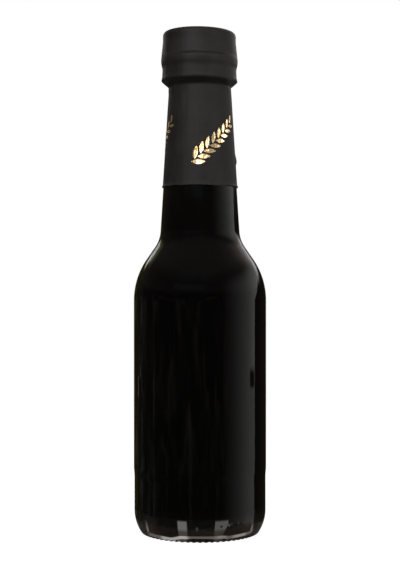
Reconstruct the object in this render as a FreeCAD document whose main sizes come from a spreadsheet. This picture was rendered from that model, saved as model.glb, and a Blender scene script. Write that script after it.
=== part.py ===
import FreeCAD, Part
import math
import os
import Sketcher
from FreeCAD import Vector

# A round glass bottle of vinegar, shut by a closure under a shrunk film sleeve.
# The origin is the middle of the foot, on the surface that the bottle stands on. +Z is up.
# Every solid is turned about Z from a half section in the XZ plane.

drivingSizes = [
    # The glass, from the mouth down. The shoulder and the neck hang from the lip.
    ("LipHeight", 206.3, "foot to the lip of the mouth"),
    ("FinishRadius", 13.0, "outside of the mouth's collar"),
    ("CollarStep", 0.33, "how far the collar stands out over the neck"),
    ("CollarRise", 0.6, "height of the slope up to the collar"),
    ("CollarDrop", 0.8, "how far the collar reaches down past the closure"),
    ("LipRounding", 0.8, "round of the lip's two edges"),
    ("BoreRadius", 9.5, "bore of the mouth"),
    ("BoreTaper", 4.2, "inner lean of the neck, in degrees"),
    ("NeckTaper", 3.55, "outer lean of the neck, in degrees"),
    ("NeckLength", 80.9, "lip to the foot of the neck's cone"),
    ("NeckRootRadius", 13.0, "hollow curve from neck to shoulder"),
    ("ShoulderAngle", 34.6, "lean of the shoulder's straight run, in degrees"),
    ("ShoulderRun", 6.2, "length of the shoulder's straight run"),
    ("BodyRadius", 27.58, "outside of the straight wall"),
    ("WallThickness", 2.0, "glass of the wall and shoulder"),
    # The foot.
    ("BandHeight", 24.0, "top of the plain band above the heel"),
    ("BandStep", 0.25, "how far the wall stands out over the band"),
    ("BandSlope", 3.0, "height of the slope from band to wall"),
    ("HeelHeight", 9.75, "height where the heel's curve meets the band"),
    ("HeelRadius", 16.8, "curve of the heel"),
    ("BearingWidth", 2.9, "ring that the bottle stands on"),
    ("BearingRounding", 0.9, "round of the standing ring's two edges"),
    ("PushUp", 3.2, "rise of the hollow under the foot"),
    ("BaseThickness", 7.6, "glass of the base at the axis"),
    ("FloorRadius", 7.5, "inner curve from floor to wall"),
    # The vinegar.
    ("Ullage", 30.0, "lip to the top of the vinegar"),
    # The closure. Its radii stand out from the collar, and its bands from its foot.
    ("CapClearance", 0.3, "play between closure and collar, all round"),
    ("CapWall", 1.72, "wall of the closure's plain top"),
    ("CapTopThickness", 2.0, "end of the closure, which seats on the lip"),
    ("CapHeight", 21.0, "whole height of the closure"),
    ("CrownHeight", 4.2, "height of the plain top"),
    ("CrownRounding", 2.1, "round of the top edge"),
    ("BeadStandOut", 0.78, "how far the bead stands out over the plain top"),
    ("BeadHeight", 9.0, "foot of the closure to the middle of the bead"),
    ("BeadRounding", 9.0, "curve of the bead"),
    ("WaistStandOut", 0.23, "the same for the groove under the bead"),
    ("WaistRounding", 6.0, "hollow curve of the groove"),
    ("BandStandOut", 0.34, "the same for the foot of the lower band"),
    ("BandFootHeight", 2.2, "foot of the closure to the foot of the lower band"),
    ("RimStandOut", 0.58, "the same for the bottom rim"),
    ("RimRounding", 0.9, "round of the bottom rim"),
    # The film sleeve.
    ("FilmThickness", 0.2, "shrunk film"),
    ("SleeveLength", 64.9, "top of the film to its open end"),
    ("TuckAngle", 39.0, "lean of the film under the rim, below level, in degrees"),
    ("TuckRounding", 1.2, "hollow curve of the film where it meets the neck"),
]

doc = FreeCAD.newDocument("VinegarBottle")
sizes = doc.addObject("Spreadsheet::Sheet", "Sizes")
for row, (alias, value, meaning) in enumerate(drivingSizes, start=1):
    sizes.set(f"A{row}", meaning)
    sizes.set(f"B{row}", str(value))
    sizes.setAlias(f"B{row}", alias)
doc.recompute()


# Heights and radii that several pieces share.
capTop = "Sizes.LipHeight + Sizes.CapTopThickness"
capFoot = f"{capTop} - Sizes.CapHeight"
finishFoot = f"{capFoot} - Sizes.CollarDrop"
neckTopRadius = "Sizes.FinishRadius - Sizes.CollarStep"
neckFoot = "Sizes.LipHeight - Sizes.NeckLength"
wallInside = "Sizes.BodyRadius - Sizes.WallThickness"
fillLevel = "Sizes.LipHeight - Sizes.Ullage"
capBore = "Sizes.FinishRadius + Sizes.CapClearance"
crownRadius = f"{capBore} + Sizes.CapWall"


def number(formula):
    """What a formula on the sheet's sizes comes to."""
    return float(sizes.evalExpression(formula))


def polar(length, degrees):
    """The vector of this length, at this angle from the sketch's level axis."""
    return Vector(math.cos(math.radians(degrees)), math.sin(math.radians(degrees)), 0) * length


def crossing(start, degrees, otherStart, otherDegrees):
    """Where two straight lines meet, each given by a point and an angle."""
    along = polar(1, degrees)
    other = polar(1, otherDegrees)
    gap = otherStart - start
    reach = (gap.x * other.y - gap.y * other.x) / (along.x * other.y - along.y * other.x)
    return start + along * reach


class HalfSection:
    """A closed outline in a body's XZ plane. X is the radius and Y the height."""

    start, end, middle = 1, 2, 3

    def __init__(self, body, name):
        planes = [plane for plane in body.Origin.OriginFeatures if plane.Role == "XZ_Plane"]
        self.sketch = body.newObject("Sketcher::SketchObject", name)
        self.sketch.AttachmentSupport = [(planes[0], "")]
        self.sketch.MapMode = "FlatFace"
        self.last = None

    def line(self, first, second, smooth=False):
        """A line from the last piece's free end, tangent to that piece where smooth."""
        return self.follow(Part.LineSegment(first, second), self.start, self.end, smooth)

    def arc(self, centre, radius, fromDegrees, toDegrees, smooth=True):
        """An arc from the last piece's free end. It may turn either way."""
        low, high = sorted((fromDegrees, toDegrees))
        circle = Part.Circle(centre, Vector(0, 0, 1), radius)
        curve = Part.ArcOfCircle(circle, math.radians(low), math.radians(high))
        ends = (self.start, self.end) if fromDegrees < toDegrees else (self.end, self.start)
        return self.follow(curve, *ends, smooth)

    def follow(self, curve, near, far, smooth):
        piece = self.sketch.addGeometry(curve)
        if self.last is not None:
            joint = "Tangent" if smooth else "Coincident"
            self.sketch.addConstraint(Sketcher.Constraint(joint, *self.last, piece, near))
        else:
            self.first = (piece, near)
        self.last = (piece, far)
        return piece

    def close(self):
        """Joins the last piece to the first one, along the axis."""
        piece = self.line(self.point(*self.last), self.point(*self.first))
        self.rule("Coincident", piece, self.end, *self.first)
        self.rule("Vertical", piece)
        return piece

    def point(self, piece, which):
        return self.sketch.getPoint(piece, which)

    def rule(self, kind, *geometry):
        return self.sketch.addConstraint(Sketcher.Constraint(kind, *geometry))

    def onAxis(self, piece, which):
        self.rule("PointOnObject", piece, which, -2)

    def bind(self, kind, formula, *geometry):
        """A dimension that follows a formula on the sheet's sizes."""
        value = number(formula)
        if kind == "Angle":
            index = self.sketch.addConstraint(Sketcher.Constraint(kind, *geometry, math.radians(value)))
            formula = f"({formula}) * 1 deg"
        else:
            index = self.sketch.addConstraint(Sketcher.Constraint(kind, *geometry, value))
        self.sketch.setExpression(f"Constraints[{index}]", formula)

    def across(self, piece, which, formula):
        self.bind("DistanceX", formula, -1, 1, piece, which)

    def up(self, piece, which, formula):
        self.bind("DistanceY", formula, -1, 1, piece, which)

    def place(self, piece, which, radius, height):
        self.across(piece, which, radius)
        self.up(piece, which, height)

    def measure(self, kind, name, *geometry):
        """A size that the outline gives back, for others to follow."""
        index = self.sketch.addConstraint(Sketcher.Constraint(kind, *geometry, 1.0))
        self.sketch.setDriving(index, False)
        self.sketch.renameConstraint(index, name)


def newBody(name):
    """A body of its own, whose label names its file."""
    body = doc.addObject("PartDesign::Body", name)
    body.Label = name
    return body


def turn(body, kind, section, name):
    """Turns a half section about the body's upright axis, as a Revolution or a Groove."""
    before = body.Shape.Volume if kind == "Groove" else 0.0
    feature = body.newObject(f"PartDesign::{kind}", name)
    feature.Profile = section.sketch
    feature.ReferenceAxis = (section.sketch, ["V_Axis"])
    feature.Angle = 360.0
    doc.recompute()
    if kind == "Groove" and feature.Shape.Volume > before - 1.0:
        raise RuntimeError(f"{name} cuts nothing")
    return feature


def roundEdges(body, base, height, formula, name):
    """Rounds every flat ring of an edge that lies at this height."""
    rings = []
    for number, edge in enumerate(base.Shape.Edges, start=1):
        box = edge.BoundBox
        if abs(box.ZMin - height) < 0.001 and abs(box.ZMax - height) < 0.001:
            rings.append(f"Edge{number}")
    feature = body.newObject("PartDesign::Fillet", name)
    feature.Base = (base, rings)
    feature.setExpression("Radius", formula)
    doc.recompute()
    return feature


def glassOutline(body):
    """The outside of the glass: hollow foot, heel, band, wall, shoulder, neck and collar."""
    outline = HalfSection(body, "GlassOutline")
    leanNeck = sizes.NeckTaper
    leanShoulder = sizes.ShoulderAngle
    footRadius = sizes.BodyRadius - sizes.BandStep - sizes.HeelRadius * (
        1 - math.sqrt(1 - (sizes.HeelHeight / sizes.HeelRadius) ** 2))
    hollowRadius = footRadius - sizes.BearingWidth
    domeRadius = (hollowRadius ** 2 + sizes.PushUp ** 2) / (2 * sizes.PushUp)
    bandRadius = sizes.BodyRadius - sizes.BandStep
    collarFoot = Vector(number(neckTopRadius), number(finishFoot), 0)
    coneLength = (collarFoot.y - number(neckFoot)) / math.cos(math.radians(leanNeck))
    coneFoot = collarFoot - polar(coneLength, 90 + leanNeck)
    rootCentre = coneFoot + polar(sizes.NeckRootRadius, leanNeck)
    runTop = rootCentre - polar(sizes.NeckRootRadius, leanShoulder)
    runFoot = runTop - polar(sizes.ShoulderRun, 90 + leanShoulder)
    shoulderRadius = (sizes.BodyRadius - runFoot.x) / (1 - math.cos(math.radians(leanShoulder)))
    shoulderCentre = runFoot - polar(shoulderRadius, leanShoulder)
    lipHeight = sizes.LipHeight

    domeHalfAngle = math.degrees(math.asin(hollowRadius / domeRadius))
    dome = outline.arc(Vector(0, sizes.PushUp - domeRadius, 0), domeRadius, 90, 90 - domeHalfAngle)
    bearing = outline.line(Vector(hollowRadius, 0, 0), Vector(footRadius, 0, 0))
    heelTurn = math.degrees(math.asin(sizes.HeelHeight / sizes.HeelRadius))
    heel = outline.arc(Vector(bandRadius - sizes.HeelRadius, sizes.HeelHeight, 0),
                       sizes.HeelRadius, -heelTurn, 0, smooth=False)
    band = outline.line(Vector(bandRadius, sizes.HeelHeight, 0),
                        Vector(bandRadius, sizes.BandHeight, 0), smooth=True)
    slope = outline.line(Vector(bandRadius, sizes.BandHeight, 0),
                         Vector(sizes.BodyRadius, sizes.BandHeight + sizes.BandSlope, 0))
    wall = outline.line(Vector(sizes.BodyRadius, sizes.BandHeight + sizes.BandSlope, 0),
                        Vector(sizes.BodyRadius, shoulderCentre.y, 0))
    shoulder = outline.arc(shoulderCentre, shoulderRadius, 0, leanShoulder)
    run = outline.line(runFoot, runTop, smooth=True)
    root = outline.arc(rootCentre, sizes.NeckRootRadius, 180 + leanShoulder, 180 + leanNeck)
    cone = outline.line(coneFoot, collarFoot, smooth=True)
    collarTop = Vector(sizes.FinishRadius, collarFoot.y + sizes.CollarRise, 0)
    collar = outline.line(collarFoot, collarTop)
    finish = outline.line(collarTop, Vector(sizes.FinishRadius, lipHeight, 0))
    lip = outline.line(Vector(sizes.FinishRadius, lipHeight, 0), Vector(0, lipHeight, 0))
    outline.close()

    outline.onAxis(dome, outline.middle)
    outline.onAxis(dome, outline.end)
    outline.up(dome, outline.end, "Sizes.PushUp")
    outline.rule("PointOnObject", bearing, outline.start, -1)
    outline.rule("Horizontal", bearing)
    outline.bind("Distance", "Sizes.BearingWidth", bearing)
    outline.bind("Radius", "Sizes.HeelRadius", heel)
    outline.rule("Vertical", band)
    outline.place(band, outline.start, "Sizes.BodyRadius - Sizes.BandStep", "Sizes.HeelHeight")
    outline.up(band, outline.end, "Sizes.BandHeight")
    outline.place(slope, outline.end, "Sizes.BodyRadius", "Sizes.BandHeight + Sizes.BandSlope")
    outline.rule("Vertical", wall)
    outline.bind("Distance", "Sizes.ShoulderRun", run)
    outline.bind("Angle", "90 + Sizes.ShoulderAngle", -1, 1, run, outline.start)
    outline.bind("Radius", "Sizes.NeckRootRadius", root)
    outline.up(root, outline.start, neckFoot)
    outline.place(cone, outline.end, neckTopRadius, finishFoot)
    outline.bind("Angle", "90 + Sizes.NeckTaper", -1, 1, cone, outline.start)
    outline.place(collar, outline.end, "Sizes.FinishRadius", f"{finishFoot} + Sizes.CollarRise")
    outline.rule("Vertical", finish)
    outline.rule("Horizontal", lip)
    outline.up(lip, outline.start, "Sizes.LipHeight")
    outline.measure("Radius", "ShoulderRadius", shoulder)
    outline.measure("DistanceY", "ShoulderHeight", -1, 1, shoulder, outline.middle)
    outline.measure("Radius", "DomeRadius", dome)
    return outline


def cavityOutline(body, name, filled):
    """The inside of the glass up to the lip, or only as far as the vinegar fills it."""
    outline = HalfSection(body, name)
    leanNeck = sizes.BoreTaper
    leanShoulder = sizes.ShoulderAngle
    wallRadius = number(wallInside)
    domeRadius = glassSketch.getDatum("DomeRadius").Value + sizes.BaseThickness
    domeCentre = Vector(0, sizes.PushUp + sizes.BaseThickness - domeRadius, 0)
    cornerReach = domeRadius + sizes.FloorRadius
    cornerTurn = math.degrees(math.asin((wallRadius - sizes.FloorRadius) / cornerReach))
    cornerCentre = domeCentre + polar(cornerReach, 90 - cornerTurn)
    shoulderRadius = glassSketch.getDatum("ShoulderRadius").Value - sizes.WallThickness
    shoulderHeight = glassSketch.getDatum("ShoulderHeight").Value
    shoulderCentre = Vector(wallRadius - shoulderRadius, shoulderHeight, 0)
    runFoot = shoulderCentre + polar(shoulderRadius, leanShoulder)
    boreFoot = Vector(sizes.BoreRadius, number(finishFoot), 0)
    corner = crossing(runFoot, 90 + leanShoulder, boreFoot, 90 + leanNeck)
    rootRadius = sizes.NeckRootRadius + sizes.WallThickness
    rootReach = rootRadius * math.tan(math.radians((leanShoulder - leanNeck) / 2))
    runTop = corner - polar(rootReach, 90 + leanShoulder)
    coneFoot = corner + polar(rootReach, 90 + leanNeck)
    rootCentre = coneFoot + polar(rootRadius, leanNeck)

    dome = outline.arc(domeCentre, domeRadius, 90, 90 - cornerTurn)
    floorEdge = outline.arc(cornerCentre, sizes.FloorRadius, 270 - cornerTurn, 360)
    wall = outline.line(Vector(wallRadius, cornerCentre.y, 0),
                        Vector(wallRadius, shoulderHeight, 0), smooth=True)
    shoulder = outline.arc(shoulderCentre, shoulderRadius, 0, leanShoulder)
    run = outline.line(runFoot, runTop, smooth=True)
    root = outline.arc(rootCentre, rootRadius, 180 + leanShoulder, 180 + leanNeck)
    cone = outline.line(coneFoot, boreFoot, smooth=True)
    outline.onAxis(dome, outline.middle)
    outline.onAxis(dome, outline.end)
    outline.up(dome, outline.end, "Sizes.PushUp + Sizes.BaseThickness")
    outline.bind("Radius", "GlassOutline.Constraints.DomeRadius / 1 mm + Sizes.BaseThickness", dome)
    outline.bind("Radius", "Sizes.FloorRadius", floorEdge)
    outline.rule("Vertical", wall)
    outline.across(wall, outline.start, wallInside)
    outline.bind("Radius", "GlassOutline.Constraints.ShoulderRadius / 1 mm - Sizes.WallThickness",
                 shoulder)
    outline.up(shoulder, outline.middle, "GlassOutline.Constraints.ShoulderHeight / 1 mm")
    outline.bind("Angle", "90 + Sizes.ShoulderAngle", -1, 1, run, outline.start)
    outline.bind("Radius", "Sizes.NeckRootRadius + Sizes.WallThickness", root)
    outline.bind("Angle", "90 + Sizes.BoreTaper", -1, 1, cone, outline.start)

    if filled:
        widening = f"({finishFoot} - ({fillLevel})) * tan(Sizes.BoreTaper * 1 deg)"
        outline.place(cone, outline.end, f"Sizes.BoreRadius + {widening}", fillLevel)
    else:
        outline.place(cone, outline.end, "Sizes.BoreRadius", finishFoot)
        bore = outline.line(boreFoot, Vector(sizes.BoreRadius, sizes.LipHeight, 0))
        outline.rule("Vertical", bore)
        outline.up(bore, outline.end, "Sizes.LipHeight")
    rim = outline.point(*outline.last)
    top = outline.line(rim, Vector(0, rim.y, 0))
    outline.rule("Horizontal", top)
    outline.close()
    return outline


def touch(point, centre, radius):
    """The angle where a line from this point touches the circle, going clockwise round it."""
    gap = point - centre
    return math.degrees(math.atan2(gap.y, gap.x) - math.acos(radius / gap.Length)) % 360


def closureOutline(body, name, film, rimTurn):
    """
    The closure's side, from the middle of its top to the underside of its rim.
    With film it is the same line moved out by the film's thickness.
    rimTurn is how far past level the rim's curve goes.
    """
    outline = HalfSection(body, name)
    skin = sizes.FilmThickness if film else 0.0
    out = " + Sizes.FilmThickness" if film else ""
    less = " - Sizes.FilmThickness" if film else ""
    bareTop = number(capTop)
    bareFoot = number(capFoot)
    plain = number(crownRadius)
    edge = sizes.CrownRounding + skin
    crownFoot = Vector(plain + skin, bareTop - sizes.CrownHeight, 0)
    edgeCentre = Vector(plain + skin - edge, bareTop + skin - edge, 0)
    beadCentre = Vector(plain + sizes.BeadStandOut - sizes.BeadRounding,
                        bareFoot + sizes.BeadHeight, 0)
    waistX = plain + sizes.WaistStandOut + sizes.WaistRounding
    waistReach = sizes.BeadRounding + sizes.WaistRounding
    waistTurn = math.degrees(math.acos((waistX - beadCentre.x) / waistReach))
    waistCentre = beadCentre + polar(waistReach, -waistTurn)
    bandFoot = Vector(plain + sizes.BandStandOut + skin, bareFoot + sizes.BandFootHeight, 0)
    rimCentre = Vector(plain + sizes.RimStandOut - sizes.RimRounding,
                       bareFoot + sizes.RimRounding, 0)
    beadStart = touch(crownFoot, beadCentre, sizes.BeadRounding + skin)
    waistEnd = touch(bandFoot, waistCentre, sizes.WaistRounding - skin)
    rimStart = touch(bandFoot, rimCentre, sizes.RimRounding + skin)

    top = outline.line(Vector(0, bareTop + skin, 0), Vector(edgeCentre.x, bareTop + skin, 0))
    topEdge = outline.arc(edgeCentre, edge, 90, 0)
    crown = outline.line(Vector(plain + skin, edgeCentre.y, 0), crownFoot, smooth=True)
    flare = outline.line(crownFoot, beadCentre + polar(sizes.BeadRounding + skin, beadStart))
    bead = outline.arc(beadCentre, sizes.BeadRounding + skin, beadStart, -waistTurn)
    waist = outline.arc(waistCentre, sizes.WaistRounding - skin, 180 - waistTurn, waistEnd)
    band = outline.line(waistCentre + polar(sizes.WaistRounding - skin, waistEnd), bandFoot,
                        smooth=True)
    spread = outline.line(bandFoot, rimCentre + polar(sizes.RimRounding + skin, rimStart))
    rim = outline.arc(rimCentre, sizes.RimRounding + skin, rimStart, -rimTurn)
    outline.onAxis(top, outline.start)
    outline.up(top, outline.start, capTop + out)
    outline.rule("Horizontal", top)
    outline.bind("Radius", "Sizes.CrownRounding" + out, topEdge)
    outline.rule("Vertical", crown)
    outline.place(crown, outline.end, crownRadius + out, f"{capTop} - Sizes.CrownHeight")
    outline.bind("Radius", "Sizes.BeadRounding" + out, bead)
    outline.place(bead, outline.middle, f"{crownRadius} + Sizes.BeadStandOut - Sizes.BeadRounding",
                  f"{capFoot} + Sizes.BeadHeight")
    outline.bind("Radius", "Sizes.WaistRounding" + less, waist)
    outline.across(waist, outline.middle,
                   f"{crownRadius} + Sizes.WaistStandOut + Sizes.WaistRounding")
    outline.place(band, outline.end, f"{crownRadius} + Sizes.BandStandOut" + out,
                  f"{capFoot} + Sizes.BandFootHeight")
    outline.bind("Radius", "Sizes.RimRounding" + out, rim)
    outline.place(rim, outline.middle, f"{crownRadius} + Sizes.RimStandOut - Sizes.RimRounding",
                  f"{capFoot} + Sizes.RimRounding")
    return outline


def capOutline(body):
    """The closure: its side, its flat foot, and the bore that goes over the mouth's collar."""
    outline = closureOutline(body, "CapOutline", film=False, rimTurn=90)
    boreRadius = number(capBore)
    footHeight = outline.point(*outline.last).y
    foot = outline.line(outline.point(*outline.last), Vector(boreRadius, footHeight, 0), smooth=True)
    bore = outline.line(Vector(boreRadius, footHeight, 0), Vector(boreRadius, sizes.LipHeight, 0))
    seat = outline.line(Vector(boreRadius, sizes.LipHeight, 0), Vector(0, sizes.LipHeight, 0))
    outline.close()
    outline.rule("Horizontal", foot)
    outline.rule("Vertical", bore)
    outline.across(bore, outline.start, capBore)
    outline.rule("Horizontal", seat)
    outline.up(seat, outline.start, "Sizes.LipHeight")
    return outline


def sleeveOutline(body, name, film):
    """One face of the film, closed along the axis: over the closure, in under its rim, down the neck."""
    outline = closureOutline(body, name, film, rimTurn=90 - sizes.TuckAngle)
    skin = sizes.FilmThickness if film else 0.0
    out = " + Sizes.FilmThickness" if film else ""
    less = " - Sizes.FilmThickness" if film else ""
    leanNeck = sizes.NeckTaper
    rimFoot = outline.point(*outline.last)
    neckTop = Vector(number(neckTopRadius) + skin, number(finishFoot), 0)
    openHeight = f"{capTop} + Sizes.FilmThickness - Sizes.SleeveLength"
    openDrop = f"({finishFoot} - ({openHeight}))"
    openRadius = f"{neckTopRadius} + {openDrop} * tan(Sizes.NeckTaper * 1 deg)" + out
    openEnd = Vector(number(openRadius), number(openHeight), 0)
    corner = crossing(rimFoot, sizes.TuckAngle, neckTop, 90 + leanNeck)
    tuckRadius = sizes.TuckRounding - skin
    bend = 90 + leanNeck - sizes.TuckAngle
    tuckReach = tuckRadius / math.tan(math.radians((180 - bend) / 2))
    tuckEnd = corner + polar(tuckReach, sizes.TuckAngle)
    neckStart = corner - polar(tuckReach, 90 + leanNeck)
    tuckCentre = neckStart + polar(tuckRadius, leanNeck)

    tuck = outline.line(rimFoot, tuckEnd, smooth=True)
    hollow = outline.arc(tuckCentre, tuckRadius, 90 + sizes.TuckAngle, 180 + leanNeck)
    neck = outline.line(neckStart, openEnd, smooth=True)
    foot = outline.line(openEnd, Vector(0, openEnd.y, 0))
    outline.close()
    outline.bind("Angle", "180 + Sizes.TuckAngle", -1, 1, tuck, outline.start)
    outline.bind("Radius", "Sizes.TuckRounding" + less, hollow)
    outline.bind("Angle", "Sizes.NeckTaper - 90", -1, 1, neck, outline.start)
    outline.place(neck, outline.end, openRadius, openHeight)
    outline.rule("Horizontal", foot)
    return outline


bottle = newBody("bottle")
glass = glassOutline(bottle)
glassSketch = glass.sketch
turn(bottle, "Revolution", glass, "GlassSolid")
cavity = cavityOutline(bottle, "CavityOutline", filled=False)
hollowGlass = turn(bottle, "Groove", cavity, "Cavity")
softFoot = roundEdges(bottle, hollowGlass, 0.0,
                      "min(Sizes.BearingRounding; 0.4 * Sizes.BearingWidth)", "SoftFoot")
roundEdges(bottle, softFoot, sizes.LipHeight,
           "min(Sizes.LipRounding; 0.4 * (Sizes.FinishRadius - Sizes.BoreRadius))", "SoftLip")

vinegar = newBody("vinegar")
filling = cavityOutline(vinegar, "FillingOutline", filled=True)
turn(vinegar, "Revolution", filling, "Filling")

cap = newBody("cap")
turn(cap, "Revolution", capOutline(cap), "CapSolid")

sleeve = newBody("sleeve")
turn(sleeve, "Revolution", sleeveOutline(sleeve, "FilmOutline", film=True), "FilmSolid")
turn(sleeve, "Groove", sleeveOutline(sleeve, "CoveredOutline", film=False), "FilmInside")

doc.recompute()
for item in doc.Objects:
    if "Invalid" in item.State or "Error" in item.State:
        raise RuntimeError(f"{item.Label} failed to build")
    if item.isDerivedFrom("Sketcher::SketchObject") and not item.FullyConstrained:
        raise RuntimeError(f"{item.Label} isn't fully constrained")

os.makedirs("parts", exist_ok=True)
for piece in (bottle, vinegar, cap, sleeve):
    shape = piece.Shape
    if shape.isNull() or not shape.isValid() or len(shape.Solids) != 1:
        raise RuntimeError(f"{piece.Label} isn't one valid solid")
    shape.exportStep(f"parts/{piece.Label}.step")
    print(f"{piece.Label}: {shape.Volume / 1000:.2f} cm3, Z {shape.BoundBox.ZMin:.2f} to"
          f" {shape.BoundBox.ZMax:.2f}, radius {shape.BoundBox.XMax:.2f}")
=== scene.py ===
import bmesh
import bpy
import math
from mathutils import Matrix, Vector


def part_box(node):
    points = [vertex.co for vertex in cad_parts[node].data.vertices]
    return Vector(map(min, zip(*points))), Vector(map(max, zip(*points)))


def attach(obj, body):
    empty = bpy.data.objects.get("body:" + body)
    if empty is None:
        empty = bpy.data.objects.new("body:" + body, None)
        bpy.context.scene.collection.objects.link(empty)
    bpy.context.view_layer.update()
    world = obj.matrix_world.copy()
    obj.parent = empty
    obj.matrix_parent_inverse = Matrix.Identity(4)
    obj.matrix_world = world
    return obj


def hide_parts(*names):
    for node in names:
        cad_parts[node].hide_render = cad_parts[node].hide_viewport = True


# A shut bottle of dark vinegar: clear glass, the vinegar in it, and a black film sleeve
# shrunk over its closure and neck, with gold sprigs pressed into the film.
# Sizes are in millimetres and degrees unless a note says otherwise.
# Directions round the bottle are degrees from the front, growing to the right.

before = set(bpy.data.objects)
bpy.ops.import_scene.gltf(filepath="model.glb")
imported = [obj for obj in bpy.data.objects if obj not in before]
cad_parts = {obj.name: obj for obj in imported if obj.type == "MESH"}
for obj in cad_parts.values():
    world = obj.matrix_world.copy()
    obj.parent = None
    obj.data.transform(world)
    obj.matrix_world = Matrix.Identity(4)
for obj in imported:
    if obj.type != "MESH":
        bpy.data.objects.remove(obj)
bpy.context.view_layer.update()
lipHeight = 206.3                         # the glass alone
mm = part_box("bottle")[1].z / lipHeight
joinWithin = 0.0005 * mm                  # points closer than this are one


# Nodes, for materials, for the world and for shapes alike

def found(sockets, name):
    if isinstance(name, int):
        return sockets[name]
    return next(s for s in sockets if name in (s.identifier, s.name) and s.enabled)


class Wire:
    # a value on its way between nodes: a sum on it adds a Math node
    def __init__(self, nodes, socket):
        self.nodes, self.socket = nodes, socket

    def out(self, name):
        return Wire(self.nodes, found(self.socket.node.outputs, name))

    def math(self, operation, *values):
        return self.nodes.add("ShaderNodeMath", {"operation": operation}, dict(enumerate(values)))

    def __add__(self, other): return self.math("ADD", self, other)
    def __radd__(self, other): return self.math("ADD", other, self)
    def __sub__(self, other): return self.math("SUBTRACT", self, other)
    def __rsub__(self, other): return self.math("SUBTRACT", other, self)
    def __mul__(self, other): return self.math("MULTIPLY", self, other)
    def __rmul__(self, other): return self.math("MULTIPLY", other, self)
    def __truediv__(self, other): return self.math("DIVIDE", self, other)
    def __rtruediv__(self, other): return self.math("DIVIDE", other, self)
    def __pow__(self, other): return self.math("POWER", self, other)
    def __mod__(self, other): return self.math("FLOORED_MODULO", self, other)
    def __abs__(self): return self.math("ABSOLUTE", self)

    def atLeast(self, other): return self.math("MAXIMUM", self, other)
    def atMost(self, other): return self.math("MINIMUM", self, other)
    def sine(self): return self.math("SINE", self)
    def cosine(self): return self.math("COSINE", self)
    def whole(self): return self.math("FLOOR", self)

    def rise(self, low, high):
        # 0 at low, 1 at high, eased at both ends. It falls where low is the larger.
        return self.nodes.add("ShaderNodeMapRange", {"interpolation_type": "SMOOTHSTEP"},
                              {"Value": self, "From Min": low, "From Max": high})

    def within(self, low, high, edge):
        # 1 from low to high, with soft edges that reach out by edge
        return self.rise(low - edge, low) * self.rise(high + edge, high)


class Nodes:
    def __init__(self, tree):
        self.tree = tree
        tree.nodes.clear()

    def add(self, kind, settings=None, values=None):
        node = self.tree.nodes.new(kind)
        for name, value in (settings or {}).items():
            setattr(node, name, value)
        for name, value in (values or {}).items():
            socket = found(node.inputs, name)
            if isinstance(value, Wire):
                self.tree.links.new(value.socket, socket)
            else:
                socket.default_value = value
        shown = [s for s in node.outputs if s.enabled]
        return Wire(self, shown[0]) if shown else node

    def blend(self, share, first, second):
        # the first colour at 0, the second at 1
        values = {"Factor_Float": share}
        for name, colour in (("A_Color", first), ("B_Color", second)):
            values[name] = colour if isinstance(colour, Wire) else (*colour, 1)
        return self.add("ShaderNodeMix", {"data_type": "RGBA"}, values).out("Result_Color")

    def vector(self, x, y, z):
        return self.add("ShaderNodeCombineXYZ", None, {"X": x, "Y": y, "Z": z})

    def scaled(self, vector, factor, start=(0, 0, 0)):
        # start plus the vector times factor
        return self.add("ShaderNodeVectorMath", {"operation": "MULTIPLY_ADD"},
                        {0: vector, 1: self.vector(factor, factor, factor), 2: start})

    def split(self, vector):
        parts = self.add("ShaderNodeSeparateXYZ", None, {0: vector})
        return parts.out("X"), parts.out("Y"), parts.out("Z")

    def cloud(self, place, scale=1, detail=2, roughness=0.5, distortion=0):
        return self.add("ShaderNodeTexNoise", None, {
            "Vector": place, "Scale": scale, "Detail": detail, "Roughness": roughness,
            "Distortion": distortion})

    def noise(self, place, spots, detail=2, roughness=0.5, stretch=(1, 1, 1)):
        # a cloud with so many spots a millimetre, along each axis times stretch
        spread = self.add("ShaderNodeMapping", {"vector_type": "POINT"},
                          {"Vector": place, "Scale": tuple(spots * s / mm for s in stretch)})
        return self.cloud(spread, 1, detail, roughness)

    def bump(self, relief, depth, strength, normal=None):
        # relief of so many millimetres, on top of another bump if there is one
        values = {"Strength": strength, "Distance": depth * mm, "Height": relief}
        if normal is not None:
            values["Normal"] = normal
        return self.add("ShaderNodeBump", None, values)


def newMaterial(name):
    material = bpy.data.materials.new(name)
    material.use_nodes = True
    return material, Nodes(material.node_tree)


def principled(nodes, values):
    shader = nodes.add("ShaderNodeBsdfPrincipled", None, values)
    nodes.add("ShaderNodeOutputMaterial", None, {"Surface": shader})
    return shader


def geometryTree(name, values):
    # a Geometry Nodes tree with a named input for each value, and its group input's wires by name
    tree = bpy.data.node_groups.new(name, "GeometryNodeTree")
    nodes = Nodes(tree)
    kinds = {int: "NodeSocketInt", float: "NodeSocketFloat", bpy.types.Material: "NodeSocketMaterial",
             bpy.types.Object: "NodeSocketObject"}
    tree.interface.new_socket("Geometry", in_out="INPUT", socket_type="NodeSocketGeometry")
    for label, value in values.items():
        tree.interface.new_socket(label, in_out="INPUT", socket_type=kinds[type(value)])
    tree.interface.new_socket("Geometry", in_out="OUTPUT", socket_type="NodeSocketGeometry")
    first = nodes.add("NodeGroupInput")
    return nodes, {label: first.out(label) for label in ("Geometry", *values)}


def finishTree(nodes, geometry, material):
    real = nodes.add("GeometryNodeRealizeInstances", None, {"Geometry": geometry})
    dressed = nodes.add("GeometryNodeSetMaterial", None, {"Geometry": real, "Material": material})
    nodes.add("NodeGroupOutput", None, {"Geometry": dressed})


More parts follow.
